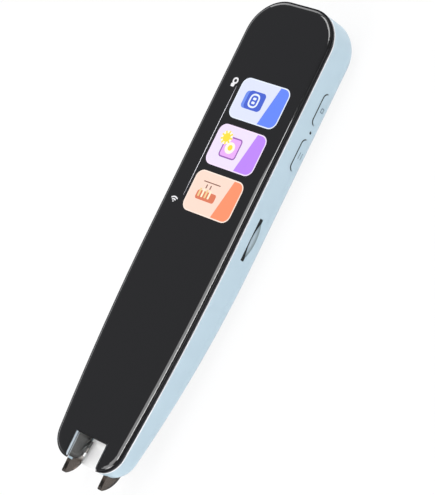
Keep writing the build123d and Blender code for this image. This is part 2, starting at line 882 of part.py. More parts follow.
def make_chips():
    left, right = chip_margin - board_half, board_half - chip_margin
    row = board_start + chip_rows_start
    keep("memory_chip", on_board(left, memory_width, row, memory_length, chip_height))
    keep("power_chip", on_board(right - power_chip_size, power_chip_size, row, power_chip_size, chip_height))
    capacitor_y = row + power_chip_size + capacitor_gap
    first_x = right - capacitor_width
    capacitors = [
        on_board(first_x - column * capacitor_pitch, capacitor_width, y, capacitor_length, capacitor_height)
        for column in range(capacitor_columns)
        for y in (capacitor_y, capacitor_y + capacitor_pitch)
    ]
    keep("capacitors", *capacitors)
    row += memory_length + chip_row_gap
    keep("processor", on_board(left, processor_size, row, processor_size, processor_height))
    can_x = right - shield_width
    can = on_board(can_x, shield_width, row, shield_length, shield_height)
    hollow = block(
        can_x + shield_skin,
        right - shield_skin,
        row + shield_skin,
        row + shield_length - shield_skin,
        main_board_height,
        board_top + shield_height - shield_skin,
    )
    keep("radio_shield", can - hollow)


def screw(x, y, z, length):
    # flat head with a cross recess, and its shank
    head = rod_z(screw_head_radius, x, y, z, z + screw_head_height)
    slot = Box(recess_length, recess_width, 2 * screw_recess)
    cross = slot + Rot(0, 0, 90) * slot
    recess = Pos(x, y, z + screw_head_height) * cross
    return head + rod_z(screw_radius, x, y, z - length, z) - recess


def make_screws():
    board = [
        screw(side * board_screw_x, y, board_top, screw_length)
        for side in (-1, 1)
        for y in board_screw_places
    ]
    keep("board_screws", *board)
    camera = [screw(side * camera_screw_x, camera_screw_y, ear_top, camera_screw_length) for side in (-1, 1)]
    keep("camera_screws", *camera)


# ---- battery ----
def make_battery():
    x0, x1 = battery_shift - battery_width / 2, battery_shift + battery_width / 2
    margin = battery_tape_margin
    tape = block(x0 + margin, x1 - margin, battery_start + margin, battery_end - margin, wall, battery_low)
    keep("battery_tape", tape)
    cell = block(x0, x1, battery_start, battery_end, battery_low, battery_top)
    keep("battery_cell", fillet(cell.edges().filter_by(Axis.Y), battery_corner))
    board_y = battery_end + battery_board_thickness
    margin = battery_board_margin
    board = block(x0 + margin, x1 - margin, battery_end, board_y, battery_low + margin, battery_top - margin)
    keep("battery_board", board)
    make_battery_leads(x0, board_y)


def make_battery_leads(x0, board_y):
    plug_low = battery_top + battery_plug_gap
    plug_end = battery_end - battery_board_margin
    plug_start = plug_end - battery_plug_length
    plug = block(x0, x0 + battery_plug_width, plug_start, plug_end, plug_low, main_board_height)
    keep("battery_connector", plug)
    low, high = (battery_low + battery_top) / 2, (plug_low + main_board_height) / 2
    turn_y = board_y + wire_reach
    middle_x = x0 + battery_plug_width / 2
    leads = []
    for x in (middle_x - wire_pitch / 2, middle_x + wire_pitch / 2):
        corners = [(x, board_y, low), (x, turn_y, low), (x, turn_y, high), (x, plug_end, high)]
        route = FilletPolyline(*corners, radius=wire_bend)
        section = Plane(origin=route @ 0, z_dir=route % 0) * Circle(wire_radius)
        leads.append(sweep(section, path=route))
    keep("battery_leads", *leads)


# ---- side buttons, microphone and their board ----
def make_button(name, y):
    flange_inset = wall + button_running_gap
    flange_back = flange_inset + button_flange_thickness
    cap = pill(button_length, button_height, y, 0, far) & skin(0, flange_back)
    flange_pill = pill(button_length + 2 * button_flange, button_height + 2 * button_flange, y, 0, far)
    flange = flange_pill & skin(flange_inset, button_flange_thickness)
    keep(name + "_button", cap + flange)
    plunger_start = button_board_face + button_travel + plunger_gap
    plunger = rod_x(plunger_radius, plunger_start, rim_half_width, y, side_feature_height)
    keep(name + "_plunger", plunger & body_form(flange_back))


def make_button_board():
    back = button_board_face - board_thickness
    board_low, board_high = button_board_low, button_board_high
    board = block(back, button_board_face, button_board_start, button_board_end, board_low, board_high)
    keep("button_board", board)
    switches = []
    for y in (power_button_place, select_button_place):
        body = block(
            button_board_face,
            button_board_face + switch_thickness,
            y - switch_length / 2,
            y + switch_length / 2,
            side_feature_height - switch_height / 2,
            side_feature_height + switch_height / 2,
        )
        bore_start = button_board_face + switch_skin
        switches.append(body - rod_x(plunger_radius + fit_clearance, bore_start, far, y, side_feature_height))
    keep("button_switches", *switches)
    mic_x = button_board_face + mic_thickness
    half_y, half_z = mic_width / 2, mic_height / 2
    low_z, high_z = side_feature_height - half_z, side_feature_height + half_z
    keep("microphone", block(button_board_face, mic_x, mic_place - half_y, mic_place + half_y, low_z, high_z))
    boot = rod_x(mic_boot_radius, mic_x, rim_half_width, mic_place, side_feature_height)
    boot -= rod_x(mic_hole_radius + slide_clearance, 0, far, mic_place, side_feature_height)
    keep("microphone_boot", boot & form_inner)
    flex_x, flex_z = back - flex_thickness / 2, board_top + flex_thickness / 2
    landing_x = board_half - button_flex_landing
    route = [(flex_x, board_high - button_height / 2), (flex_x, flex_z), (landing_x, flex_z)]
    strip = FilletPolyline(*route, radius=flex_bend)
    flex = ribbon(Plane.XZ, strip, flex_thickness, button_flex_width)
    keep("button_flex", Pos(0, select_button_place, 0) * flex)


# ---- inlet, card socket, speaker, antenna ----
def make_inlet():
    mouth_y = head_y - usb_recess
    outer = Pos(0, mouth_y, 0) * extrude(usb_outline(0), usb_length)
    inner = Pos(0, mouth_y + usb_back_wall, 0) * extrude(usb_outline(-usb_skin), usb_length)
    keep("usb_shell", outer - inner)
    z = main_board_height - usb_height / 2
    half_x, half_z = usb_tongue_width / 2, usb_tongue_height / 2
    back_y = mouth_y + usb_back_wall - usb_length
    keep("usb_tongue", block(-half_x, half_x, back_y, mouth_y - usb_tongue_setback, z - half_z, z + half_z))


def make_card_socket():
    mouth_x = rim_half_width + lean(main_board_height) - wall - card_socket_gap
    half = card_slot_length / 2 + card_socket_margin
    y0, y1 = card_slot_place - half, card_slot_place + half
    back_x = mouth_x - card_socket_depth
    case = block(back_x, mouth_x, y0, y1, card_slot_bottom - card_socket_skin, main_board_height)
    bay = block(
        back_x + card_socket_wall,
        far,
        y0 + card_socket_wall,
        y1 - card_socket_wall,
        card_slot_bottom,
        main_board_height - card_socket_skin,
    )
    keep("card_socket", case - bay)


def speaker_bottom():
    return back_height(speaker_place - speaker_length / 2, wall) + speaker_lift


def make_speaker():
    half_x, half_y = speaker_width / 2, speaker_length / 2
    bottom = speaker_bottom()
    top = bottom + speaker_height
    case = block(-half_x, half_x, speaker_place - half_y, speaker_place + half_y, bottom, top)
    keep("speaker", fillet(case.edges().filter_by(Axis.Z), speaker_corner))
    inner = speaker_ring - speaker_ring_wall
    ring = rod_z(speaker_ring, 0, speaker_place, 0, bottom) - rod_z(inner, 0, speaker_place, 0, far)
    keep("speaker_gasket", ring & form_inner)
    disc = rod_z(inner - mesh_gap, 0, speaker_place, 0, bottom)
    keep("speaker_mesh", disc & skin(wall, mesh_thickness))
    contact_y = speaker_place + half_y - speaker_contact_inset
    first_x = half_x - speaker_contact_inset
    contacts = [
        rod_z(speaker_contact_radius, x, contact_y, top, main_board_height)
        for x in (first_x - speaker_contact_pitch, first_x)
    ]
    keep("speaker_contacts", *contacts)


def make_antenna():
    sheet = skin(wall + screw_clearance, antenna_thickness)
    y1 = head_y - antenna_from_head
    z1 = seam_height - antenna_drop
    keep("radio_antenna", sheet & block(-far, 0, y1 - antenna_length, y1, z1 - antenna_width, z1))


make_rear_housing()
make_mid_frame()
make_cover_glass()
make_notch_trim()
make_glass_adhesive()
make_nose_insert()
make_camera_window()
make_channel_floor()
make_camera()
make_tip_switch()
make_screen()
make_main_board()
make_chips()
make_screws()
make_battery()
make_button("power", power_button_place)
make_button("select", select_button_place)
make_button_board()
make_inlet()
make_card_socket()
make_speaker()
make_antenna()

os.makedirs("parts", exist_ok=True)
for name, shape in parts.items():
    export_step(shape, f"parts/{name}.step")
print(len(parts), "nodes")
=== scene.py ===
import math

import bpy
from mathutils import Matrix, Vector


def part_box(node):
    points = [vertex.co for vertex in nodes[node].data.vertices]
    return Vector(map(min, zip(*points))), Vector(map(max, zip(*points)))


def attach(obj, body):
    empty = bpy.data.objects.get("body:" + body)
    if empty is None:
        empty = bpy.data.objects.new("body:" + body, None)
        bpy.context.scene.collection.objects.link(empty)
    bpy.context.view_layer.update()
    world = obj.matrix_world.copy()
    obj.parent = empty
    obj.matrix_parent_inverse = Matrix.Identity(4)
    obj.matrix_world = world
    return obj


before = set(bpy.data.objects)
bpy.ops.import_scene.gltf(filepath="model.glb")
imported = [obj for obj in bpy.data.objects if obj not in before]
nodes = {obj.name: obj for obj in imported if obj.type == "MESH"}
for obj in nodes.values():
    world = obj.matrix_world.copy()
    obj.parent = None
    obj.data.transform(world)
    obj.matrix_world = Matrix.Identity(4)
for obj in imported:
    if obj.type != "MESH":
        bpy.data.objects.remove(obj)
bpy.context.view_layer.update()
print("frame loaded:", len(nodes), "nodes")

millimetre = 0.001


def mm(*values):
    return tuple(value * millimetre for value in values)


def newMaterial(name):
    material = bpy.data.materials.new(name)
    material.use_nodes = True
    shader = material.node_tree.nodes["Principled BSDF"]
    return material, shader


def addNode(owner, kind, **settings):
    # owner is a material or the world
    node = owner.node_tree.nodes.new(kind)
    for key, value in settings.items():
        setattr(node, key, value)
    return node


def join(owner, output, socket):
    owner.node_tree.links.new(output, socket)


def feed(owner, value, socket):
    # a number is set on the socket, and another node's output is linked to it
    if isinstance(value, (int, float)):
        socket.default_value = value
    else:
        join(owner, value, socket)


def mapRange(owner, value, span, low, high):
    # goes from low to high while value goes through the span
    change = addNode(owner, "ShaderNodeMapRange")
    settings = {"Value": value, "From Min": span[0], "From Max": span[1], "To Min": low, "To Max": high}
    for key, setting in settings.items():
        feed(owner, setting, change.inputs[key])
    return change.outputs["Result"]


def combine(owner, operation, first, second):
    result = addNode(owner, "ShaderNodeMath", operation=operation)
    feed(owner, first, result.inputs[0])
    feed(owner, second, result.inputs[1])
    return result.outputs[0]


def placeOnPiece(material, stretch=(1, 1, 1)):
    # object coordinates, stretched along an axis for drawn or brushed looks
    place = addNode(material, "ShaderNodeTexCoord")
    mapping = addNode(material, "ShaderNodeMapping")
    mapping.inputs["Scale"].default_value = stretch
    join(material, place.outputs["Object"], mapping.inputs["Vector"])
    return mapping.outputs["Vector"]


def noise(material, vector, scale, detail=3.0, roughness=0.5):
    texture = addNode(material, "ShaderNodeTexNoise")
    texture.inputs["Scale"].default_value = scale
    texture.inputs["Detail"].default_value = detail
    texture.inputs["Roughness"].default_value = roughness
    join(material, vector, texture.inputs["Vector"])
    return texture.outputs["Fac"]


colourSpan = (0.35, 0.65)  # the part of a noise that colours are spread over
numberSpan = (0.3, 0.7)  # and numbers


def ramp(material, factor, low, high):
    colours = addNode(material, "ShaderNodeValToRGB")
    for element, position, colour in zip(colours.color_ramp.elements, colourSpan, (low, high)):
        element.position = position
        element.color = (*colour, 1)
    join(material, factor, colours.inputs["Fac"])
    return colours.outputs["Color"]


def spread(material, factor, low, high):
    # a number that wanders between two values over the surface
    return mapRange(material, factor, numberSpan, low, high)


def step(material, value, start, stop):
    # 0 before start and 1 after stop, also where start is the larger one
    return mapRange(material, value, (start, stop), 0, 1)


def along(material, axis):
    # one object coordinate, in millimetres
    place = addNode(material, "ShaderNodeTexCoord")
    parts = addNode(material, "ShaderNodeSeparateXYZ")
    join(material, place.outputs["Object"], parts.inputs["Vector"])
    return combine(material, "MULTIPLY", parts.outputs[axis], 1 / millimetre)


def blend(material, share, first, second):
    # second shows where share is 1
    mix = addNode(material, "ShaderNodeMix", data_type="RGBA")
    join(material, share, mix.inputs["Factor"])
    for socket, value in ((mix.inputs[6], first), (mix.inputs[7], second)):
        if isinstance(value, tuple):
            socket.default_value = (*value, 1)
        else:
            join(material, value, socket)
    return mix.outputs[2]


def grain(material, shader, height, strength, depth):
    bump = addNode(material, "ShaderNodeBump")
    bump.inputs["Strength"].default_value = strength
    bump.inputs["Distance"].default_value = depth * millimetre
    join(material, height, bump.inputs["Height"])
    join(material, bump.outputs["Normal"], shader.inputs["Normal"])


def tint(colour, amount):
    return tuple(min(1.0, channel * amount) for channel in colour)


def mottled(material, factor, colour, amounts):
    # the colour wanders between two shades of itself
    darker, lighter = amounts
    return ramp(material, factor, tint(colour, darker), tint(colour, lighter))


plasticLook = {
    "cloudScale": 60,
    "grainDetail": 2,
    "roughness": (0.92, 1.08),  # times the plastic's own
    "bump": 0.35,
}


def mouldedPlastic(name, colour, roughness, grainSize=0.25, grainDepth=0.004, mottle=0.03, gloss=0.5):
    # the grain is in millimetres, and mottle is how far the colour wanders
    material, shader = newMaterial(name)
    vector = placeOnPiece(material)
    cloudy = noise(material, vector, plasticLook["cloudScale"])
    colours = mottled(material, cloudy, colour, (1 - mottle, 1 + mottle))
    join(material, colours, shader.inputs["Base Color"])
    fine = noise(material, vector, 1 / (grainSize * millimetre), plasticLook["grainDetail"])
    smoother, rougher = plasticLook["roughness"]
    satin = spread(material, fine, roughness * smoother, roughness * rougher)
    join(material, satin, shader.inputs["Roughness"])
    grain(material, shader, fine, plasticLook["bump"], grainDepth)
    shader.inputs["Specular IOR Level"].default_value = gloss
    return material


metalLook = {
    "grainScale": 900,
    "grainDetail": 4,
    "tints": (0.93, 1.05),
    "roughness": (0.8, 1.25),  # times the metal's own
    "bump": 0.2,
    "grainDepth": 0.004,
}


def sheetMetal(name, colour, roughness, stretch=(1, 12, 12)):
    material, shader = newMaterial(name)
    vector = placeOnPiece(material, stretch)
    drawn = noise(material, vector, metalLook["grainScale"], metalLook["grainDetail"])
    join(material, mottled(material, drawn, colour, metalLook["tints"]), shader.inputs["Base Color"])
    smoother, rougher = metalLook["roughness"]
    satin = spread(material, drawn, roughness * smoother, roughness * rougher)
    join(material, satin, shader.inputs["Roughness"])
    grain(material, shader, drawn, metalLook["bump"], metalLook["grainDepth"])
    shader.inputs["Metallic"].default_value = 1.0
    return material


# all places and heights of the side wall are in millimetres
sideWall = {
    "seam": 15.7,  # its place at the seam
    "seamHeight": 12.2,
    "foot": 16.147,  # its place at the table's height
    "lean": 0.0367,  # how far it comes out for each millimetre down
    "draft": 2.1,  # the same lean, in degrees
}


def wallAt(height):
    return sideWall["seam"] + (sideWall["seamHeight"] - height) * sideWall["lean"]


housingLook = {
    "colour": (0.505, 0.645, 0.72),
    "roughness": 0.38,
    "grainSize": 0.22,
    "grainDepth": 0.003,
    "mottle": 0.012,
    "gloss": 0.45,
}
# painted highlight: the top of the housing at the seam is painted near white, and is also made smoother
seamHighlightLook = {
    "colour": (0.97, 0.98, 1.0),
    "roughness": 0.2,
    "heights": (11.66, 11.72),
}
# painted shade in the finger scoop: dark at its edge and paler deeper in
scoopLook = {
    "edge": (0.21, 0.28, 0.30),
    "inner": (0.53, 0.65, 0.71),
    "depth": (0.02, 0.1, 0.55),  # where the shade starts, is darkest, and is pale again
    "ends": (0.1, 12.6),
    "endFade": 0.3,
    "bottom": 5.6,
    "bottomFade": 0.1,
    "innermost": (14.6, 14.7),  # what lies further in isn't shaded
}


def housingPlastic():
    material = mouldedPlastic("housingPlastic", **housingLook)
    shader = material.node_tree.nodes["Principled BSDF"]
    height = along(material, "Z")
    # painted highlight on the rim at the seam, above these heights
    rim = step(material, height, *seamHighlightLook["heights"])
    # painted shade in the finger scoop, set by how deep it lies below the side wall
    leaning = combine(material, "MULTIPLY", height, sideWall["lean"])
    across = combine(material, "ADD", along(material, "X"), leaning)
    sunk = combine(material, "SUBTRACT", sideWall["foot"], across)
    start, darkest, pale = scoopLook["depth"]
    scoop = step(material, sunk, start, darkest)
    length = along(material, "Y")
    low, high = scoopLook["ends"]
    bottom = scoopLook["bottom"]
    for edge in (
        step(material, length, low, low + scoopLook["endFade"]),
        step(material, length, high, high - scoopLook["endFade"]),
        step(material, height, bottom, bottom + scoopLook["bottomFade"]),
        step(material, across, *scoopLook["innermost"]),
    ):
        scoop = combine(material, "MULTIPLY", scoop, edge)
    plain = shader.inputs["Base Color"].links[0].from_socket
    shade = blend(material, step(material, sunk, darkest, pale), scoopLook["edge"], scoopLook["inner"])
    shaded = blend(material, scoop, plain, shade)
    join(material, blend(material, rim, shaded, seamHighlightLook["colour"]), shader.inputs["Base Color"])
    satin = shader.inputs["Roughness"].links[0].from_socket
    polished = combine(material, "MULTIPLY", rim, seamHighlightLook["roughness"] - housingLook["roughness"])
    join(material, combine(material, "ADD", satin, polished), shader.inputs["Roughness"])
    return material


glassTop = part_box("cover_glass")[1].z
glassLook = {
    "colour": (0.0035, 0.0035, 0.0042),
    "border": (0.0008, 0.0008, 0.001),
    "borderDrop": (0.13, 0.3),  # below the face, mm
    "roughness": (0.045, 0.075),
    "bending": 1.5,
    "coat": 0.9,
    "coatRoughness": 0.03,
    "smearSize": 14,  # mm
    "smearDetail": 5,
    "smearRoughness": 0.6,
    "smearStretch": (1, 0.35, 1),
}


def coverGlassFinish():
    material, shader = newMaterial("coverGlassFinish")
    vector = placeOnPiece(material, glassLook["smearStretch"])
    scale = 1 / (glassLook["smearSize"] * millimetre)
    smear = noise(material, vector, scale, glassLook["smearDetail"], glassLook["smearRoughness"])
    join(material, spread(material, smear, *glassLook["roughness"]), shader.inputs["Roughness"])
    # the outer part of the curved border gets painted shade: a darker colour and no coat, so it shows
    # hardly any reflection
    start, stop = glassLook["borderDrop"]
    top = glassTop / millimetre
    face = step(material, along(material, "Z"), top - stop, top - start)
    colours = blend(material, face, glassLook["border"], glassLook["colour"])
    join(material, colours, shader.inputs["Base Color"])
    shader.inputs["IOR"].default_value = glassLook["bending"]
    join(material, combine(material, "MULTIPLY", face, glassLook["coat"]), shader.inputs["Coat Weight"])
    shader.inputs["Coat Roughness"].default_value = glassLook["coatRoughness"]
    return material


smokeLook = {
    # painted light: the walls inside the notch are far lighter than the feet of the same smoked plastic,
    # against the shade in the notch
    "colour": (0.54, 0.51, 0.48),  # inside the notch
    "feet": (0.085, 0.065, 0.053),
    "feetFrom": (-67.3, -68.2),
    "cloudScale": 220,
    "tints": (0.85, 1.15),
    "roughness": (0.04, 0.09),
    "clear": 0.9,  # how much light goes through
    "bending": 1.49,
}


def smokedPlastic():
    material, shader = newMaterial("smokedPlastic")
    cloudy = noise(material, placeOnPiece(material), smokeLook["cloudScale"])
    # painted light: lighter walls in the notch, darker feet
    outer = step(material, along(material, "Y"), *smokeLook["feetFrom"])
    walls = mottled(material, cloudy, smokeLook["colour"], smokeLook["tints"])
    ends = mottled(material, cloudy, smokeLook["feet"], smokeLook["tints"])
    join(material, blend(material, outer, walls, ends), shader.inputs["Base Color"])
    join(material, spread(material, cloudy, *smokeLook["roughness"]), shader.inputs["Roughness"])
    shader.inputs["Transmission Weight"].default_value = smokeLook["clear"]
    shader.inputs["IOR"].default_value = smokeLook["bending"]
    return material


clearLooks = {
    "clearPlastic": {
        "colour": (0.25, 0.25, 0.27),
        "smear": {"scale": 300, "detail": 3},
        "roughness": (0.03, 0.08),
        "clear": 0.8,
        "bending": 1.49,
    },
    "opticalGlass": {
        "colour": (0.75, 0.8, 0.85),
        "smear": {"scale": 2500, "detail": 2},
        "roughness": (0.0, 0.04),
        "clear": 0.95,
        "bending": 1.52,
    },
}


def clearFinish(name):
    look = clearLooks[name]
    material, shader = newMaterial(name)
    smear = noise(material, placeOnPiece(material), **look["smear"])
    join(material, spread(material, smear, *look["roughness"]), shader.inputs["Roughness"])
    shader.inputs["Base Color"].default_value = (*look["colour"], 1)
    shader.inputs["Transmission Weight"].default_value = look["clear"]
    shader.inputs["IOR"].default_value = look["bending"]
    return material


# the display's columns, hardly seen, and the tracks in a flat cable
stripedLooks = {
    "panelGlass": {
        "stripes": 2200,
        "colours": ((0.012, 0.012, 0.016), (0.02, 0.02, 0.026)),
        "roughness": 0.15,
    },
    "flexFilm": {
        "stripes": 700,
        "colours": ((0.20, 0.075, 0.012), (0.42, 0.19, 0.05)),
        "roughness": 0.3,
    },
}


def stripedFinish(name):
    look = stripedLooks[name]
    material, shader = newMaterial(name)
    stripes = addNode(material, "ShaderNodeTexWave", wave_type="BANDS", bands_direction="X")
    stripes.inputs["Scale"].default_value = look["stripes"]
    join(material, placeOnPiece(material), stripes.inputs["Vector"])
    colours = ramp(material, stripes.outputs["Fac"], *look["colours"])
    join(material, colours, shader.inputs["Base Color"])
    shader.inputs["Roughness"].default_value = look["roughness"]
    return material


boardLook = {
    "trackScale": 420,
    "trackGap": 0.03,
    "mask": ((0.008, 0.05, 0.028), (0.010, 0.06, 0.033)),
    "copper": (0.02, 0.11, 0.055),
    "roughness": 0.32,
    "bump": 0.4,
    "bumpDepth": 0.02,
}


def circuitBoard():
    # solder mask over copper tracks that run along and across the board
    material, shader = newMaterial("circuitBoard")
    tracks = addNode(material, "ShaderNodeTexBrick")
    tracks.inputs["Scale"].default_value = boardLook["trackScale"]
    tracks.inputs["Mortar Size"].default_value = boardLook["trackGap"]
    tracks.inputs["Color1"].default_value = (*boardLook["mask"][0], 1)
    tracks.inputs["Color2"].default_value = (*boardLook["mask"][1], 1)
    tracks.inputs["Mortar"].default_value = (*boardLook["copper"], 1)
    join(material, placeOnPiece(material), tracks.inputs["Vector"])
    join(material, tracks.outputs["Color"], shader.inputs["Base Color"])
    grain(material, shader, tracks.outputs["Fac"], boardLook["bump"], boardLook["bumpDepth"])
    shader.inputs["Roughness"].default_value = boardLook["roughness"]
    return material


foilLook = {
    "colours": ((0.45, 0.46, 0.48), (0.62, 0.63, 0.65)),
    "creases": {"scale": 160, "detail": 6, "roughness": 0.65},
    "bump": 0.5,
    "creaseDepth": 0.12,
    "metallic": 0.9,
    "roughness": 0.42,
}


def foilPouch():
    # crimped aluminium laminate
    material, shader = newMaterial("foilPouch")
    creases = noise(material, placeOnPiece(material), **foilLook["creases"])
    join(material, ramp(material, creases, *foilLook["colours"]), shader.inputs["Base Color"])
    grain(material, shader, creases, foilLook["bump"], foilLook["creaseDepth"])
    shader.inputs["Metallic"].default_value = foilLook["metallic"]
    shader.inputs["Roughness"].default_value = foilLook["roughness"]
    return material


weaveLook = {
    "scale": 4000,
    "colours": ((0.03, 0.03, 0.032), (0.12, 0.12, 0.125)),
    "metallic": 0.8,
    "roughness": 0.45,
}


def wovenMesh():
    material, shader = newMaterial("wovenMesh")
    weave = addNode(material, "ShaderNodeTexChecker")
    weave.inputs["Scale"].default_value = weaveLook["scale"]
    weave.inputs["Color1"].default_value = (*weaveLook["colours"][0], 1)
    weave.inputs["Color2"].default_value = (*weaveLook["colours"][1], 1)
    join(material, placeOnPiece(material), weave.inputs["Vector"])
    join(material, weave.outputs["Color"], shader.inputs["Base Color"])
    shader.inputs["Metallic"].default_value = weaveLook["metallic"]
    shader.inputs["Roughness"].default_value = weaveLook["roughness"]
    return material


screenLook = {
    "glow": 0.7,  # the share of a colour that is light of its own
    "roughness": 0.06,
    "pixels": {"scale": 9000, "detail": 1},
    "tints": (0.97, 1.03),
}


def screenColour(name, colour):
    # lit pixels under the glass: mostly light of their own, and the glass's gloss
    material, shader = newMaterial(name)
    pixels = noise(material, placeOnPiece(material), **screenLook["pixels"])
    dim = tint(colour, 1 - screenLook["glow"])
    join(material, mottled(material, pixels, dim, screenLook["tints"]), shader.inputs["Base Color"])
    shader.inputs["Roughness"].default_value = screenLook["roughness"]
    shader.inputs["Emission Color"].default_value = (*colour, 1)
    shader.inputs["Emission Strength"].default_value = screenLook["glow"]
    return material


def makeFinishes():
    return {
        "housing": housingPlastic(),
        "glass": coverGlassFinish(),
        "frame": mouldedPlastic("framePlastic", (0.006, 0.006, 0.008), 0.3, mottle=0.1, gloss=0.25),
        "smoke": smokedPlastic(),
        "trim": mouldedPlastic("trimPlastic", (0.66, 0.74, 0.80), 0.18, mottle=0.02),
        "white": mouldedPlastic("whitePlastic", (0.90, 0.90, 0.89), 0.5, mottle=0.012),
        "clear": clearFinish("clearPlastic"),
        "optical": clearFinish("opticalGlass"),
        "panel": stripedFinish("panelGlass"),
        "board": circuitBoard(),
        "flex": stripedFinish("flexFilm"),
        "foil": foilPouch(),
        "weave": wovenMesh(),
        "black": mouldedPlastic("blackPlastic", (0.012, 0.012, 0.013), 0.45, mottle=0.1),
        "chip": mouldedPlastic("chipPackage", (0.016, 0.016, 0.018), 0.55, grainSize=0.12, mottle=0.12),
        "connector": mouldedPlastic("connectorPlastic", (0.55, 0.50, 0.38), 0.5),
        "resin": mouldedPlastic("ledResin", (0.85, 0.80, 0.50), 0.2),
        "ceramic": mouldedPlastic("ceramicBody", (0.22, 0.13, 0.07), 0.5, mottle=0.1),
        "wire": mouldedPlastic("wireInsulation", (0.35, 0.012, 0.012), 0.4),
        "tape": mouldedPlastic("blackTape", (0.008, 0.008, 0.008), 0.7, grainSize=0.4),
        "rubber": mouldedPlastic("softRubber", (0.018, 0.018, 0.018), 0.75, grainSize=0.3, mottle=0.15),
        "spring": sheetMetal("springSteel", (0.55, 0.55, 0.56), 0.25),
        "tin": sheetMetal("tinnedSteel", (0.58, 0.59, 0.60), 0.33, (1, 1, 1)),
        "screw": sheetMetal("screwSteel", (0.30, 0.30, 0.31), 0.35, (4, 4, 1)),
        "inlet": sheetMetal("inletSteel", (0.62, 0.63, 0.64), 0.28, (1, 10, 1)),
        "brass": sheetMetal("contactBrass", (0.70, 0.52, 0.24), 0.3),
    }


nodeFinishes = {
    "housing": ["rear_housing", "power_button", "select_button"],
    "glass": ["cover_glass"],
    "frame": ["mid_frame"],
    "smoke": ["nose_insert"],
    "trim": ["notch_trim"],
    "white": ["channel_floor", "backlight", "power_plunger", "select_plunger", "tip_switch_plunger"],
    "clear": ["camera_window"],
    "optical": ["front_lens", "touch_sensor"],
    "panel": ["lcd_panel"],
    "board": ["main_board", "sensor_board", "led_board", "button_board", "battery_board"],
    "flex": ["display_flex", "camera_flex", "button_flex"],
    "foil": ["battery_cell"],
    "weave": ["speaker_mesh"],
    "black": ["camera_cradle", "lens_barrel", "tip_switch", "usb_tongue", "speaker"],
    "chip": ["processor", "memory_chip", "power_chip", "image_sensor"],
    "connector": ["display_connector", "camera_connector", "battery_connector"],
    "resin": ["scan_leds"],
    "ceramic": ["capacitors"],
    "wire": ["battery_leads"],
    "tape": ["glass_adhesive", "battery_tape"],
    "rubber": ["microphone_boot", "speaker_gasket"],
    "spring": ["tip_return_spring"],
    "tin": ["radio_shield", "button_switches", "microphone", "card_socket"],
    "screw": ["board_screws", "camera_screws"],
    "inlet": ["usb_shell"],
    "brass": ["speaker_contacts", "radio_antenna"],
}

trimPrint = {"facing": 0.3, "finish": "glass"}  # faces that look up more than this are printed

finishes = makeFinishes()
for finish, names in nodeFinishes.items():
    for name in names:
        nodes[name].data.materials.clear()
        nodes[name].data.materials.append(finishes[finish])
# the trim's face is printed black like the glass, and only its cut sides are pale
trimMesh = nodes["notch_trim"].data
trimMesh.materials.append(finishes[trimPrint["finish"]])
for face in trimMesh.polygons:
    if face.normal.z > trimPrint["facing"]:
        face.material_index = 1
print("finishes on", sum(len(names) for names in nodeFinishes.values()), "nodes")


def deselectAll():
    if bpy.context.object and bpy.context.object.mode != "OBJECT":
        bpy.ops.object.mode_set(mode="OBJECT")
    bpy.ops.object.select_all(action="DESELECT")


def dress(piece, name, material):
    piece.name = name
    piece.data.name = name
    piece.data.materials.clear()
    piece.data.materials.append(material)


def settle(piece, place, turn=(0, 0, 0)):
    # the piece goes to its place, and its origin back to the middle of the frame
    piece.rotation_euler = turn
    piece.location = place
    bpy.ops.object.transform_apply(location=True, rotation=True, scale=True)


def raisePlate(thickness):
    # the flat face that is being edited becomes a closed plate, with its top at zero
    bpy.ops.mesh.select_all(action="SELECT")
    bpy.ops.mesh.extrude_region_move(TRANSFORM_OT_translate={"value": (0, 0, -thickness)})
    bpy.ops.mesh.select_all(action="SELECT")
    bpy.ops.mesh.normals_make_consistent(inside=False)
    bpy.ops.object.mode_set(mode="OBJECT")


def openMiddle(width):
    # the flat face that is being edited becomes a ring, width in millimetres
    bpy.ops.mesh.select_all(action="SELECT")
    bpy.ops.mesh.inset(thickness=width * millimetre)
    bpy.ops.mesh.delete(type="FACE")


def startRounded(size, corner, segments=6):
    deselectAll()
    bpy.ops.mesh.primitive_plane_add(size=1, location=(0, 0, 0))
    bpy.ops.object.mode_set(mode="EDIT")
    bpy.ops.mesh.select_all(action="SELECT")
    bpy.ops.transform.resize(value=(size[0], size[1], 1))
    bpy.ops.mesh.bevel(offset=corner, segments=segments, affect="VERTICES")
    return bpy.context.object


def startRound(radius, sides):
    deselectAll()
    bpy.ops.mesh.primitive_circle_add(vertices=sides, radius=radius * millimetre, fill_type="NGON")
    bpy.ops.object.mode_set(mode="EDIT")
    return bpy.context.object


def startBox(size, place):
    deselectAll()
    bpy.ops.mesh.primitive_cube_add(size=1)
    piece = bpy.context.object
    piece.scale = mm(*size)
    settle(piece, mm(*place))
    return piece


filmThickness = 0.03 * millimetre
layerStep = 0.008 * millimetre


def layOnGlass(piece, name, material, centre, layer, turn=0.0, body="housing"):
    # each printed layer lies a hair over the one below it
    raisePlate(filmThickness)
    dress(piece, name, material)
    settle(piece, (*mm(*centre), glassTop + layerStep * layer), (0, 0, turn))
    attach(piece, body)


def roundedPlate(name, centre, size, corner, material, layer, turn=0.0, cut=None):
    piece = startRounded(mm(*size), corner * millimetre)
    if cut:
        # cut is (point, direction that is kept), in millimetres from the middle of the plate
        point, keep = cut
        bpy.ops.mesh.select_all(action="SELECT")
        bpy.ops.mesh.bisect(plane_co=(*mm(*point), 0), plane_no=(*keep, 0), clear_inner=True)
    layOnGlass(piece, name, material, centre, layer, turn)


def roundedRing(name, centre, size, corner, width, material, layer):
    piece = startRounded(mm(*size), corner * millimetre)
    openMiddle(width)
    layOnGlass(piece, name, material, centre, layer)


